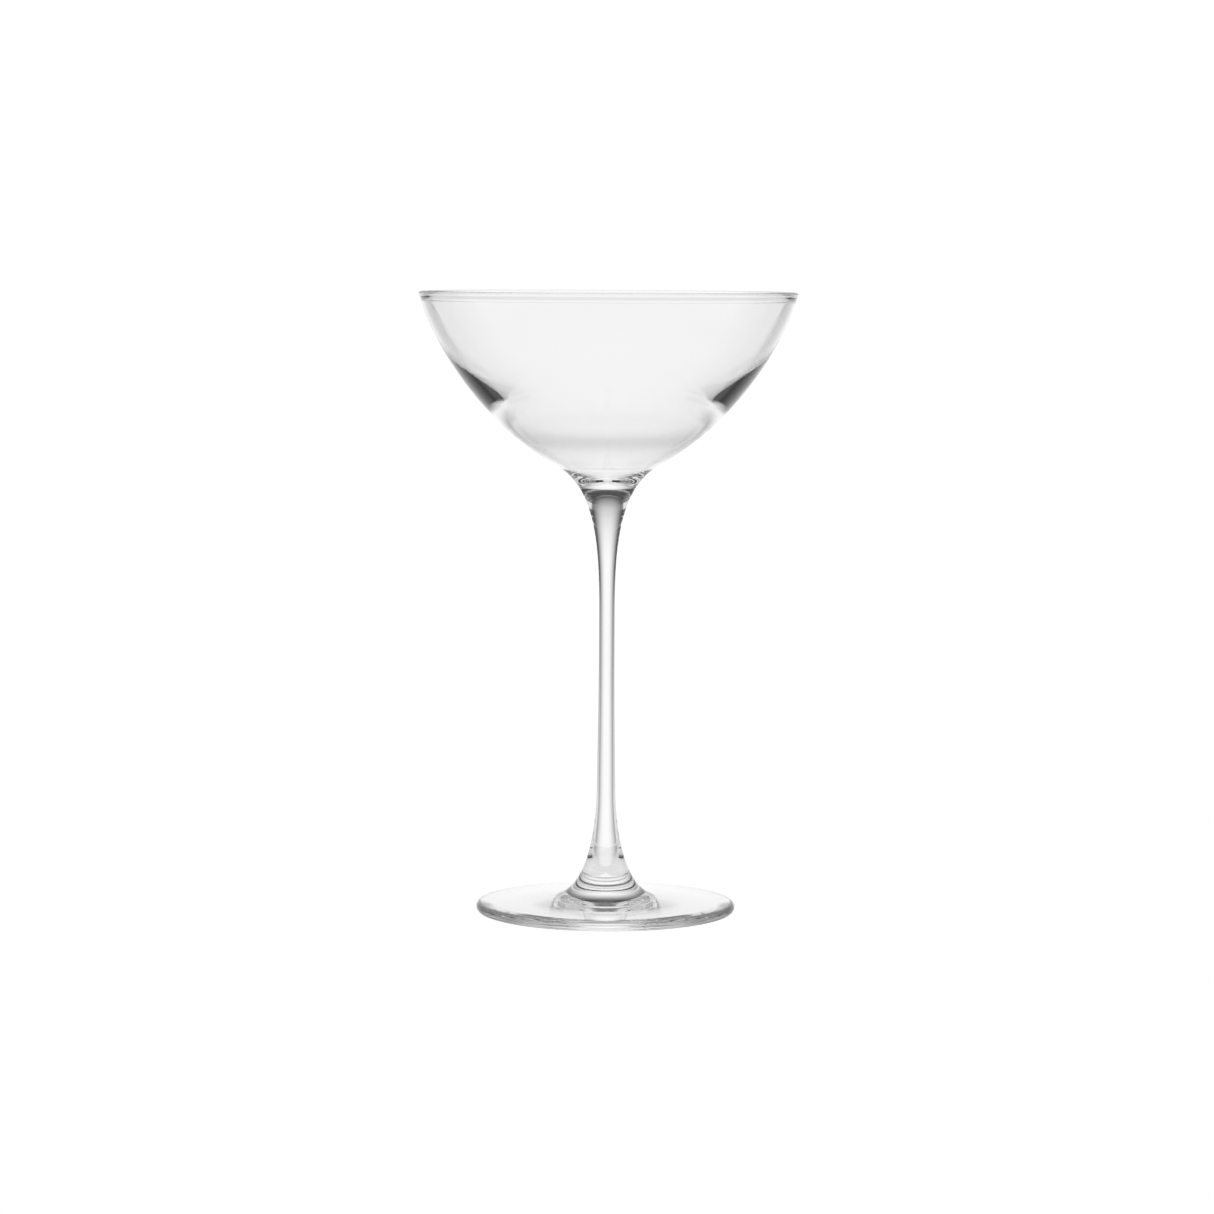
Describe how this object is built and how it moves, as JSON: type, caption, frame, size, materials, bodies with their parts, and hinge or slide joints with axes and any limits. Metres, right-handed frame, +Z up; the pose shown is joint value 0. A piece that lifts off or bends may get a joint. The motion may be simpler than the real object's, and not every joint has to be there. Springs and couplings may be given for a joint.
{
  "type": "martini glass",
  "caption": "Clear martini glass with a thin curved bowl, a long drawn stem flared at both ends and a round disc foot.",
  "frame": {"origin": "centre of the foot's underside, on the table", "axes": "+Z up along the axis of the glass; X and Y are free, because the glass is turned about Z"},
  "size_m": [0.108, 0.108, 0.178],
  "materials": {
    "bowl_glass": "clear, fire-polished",
    "stem_glass": "clear, drawn and fire-polished",
    "foot_glass": "clear, pressed and fire-polished"
  },
  "bodies": {
    "root": {"bowl": "bowl_glass", "stem": "stem_glass", "foot": "foot_glass"}
  },
  "joints": []
}
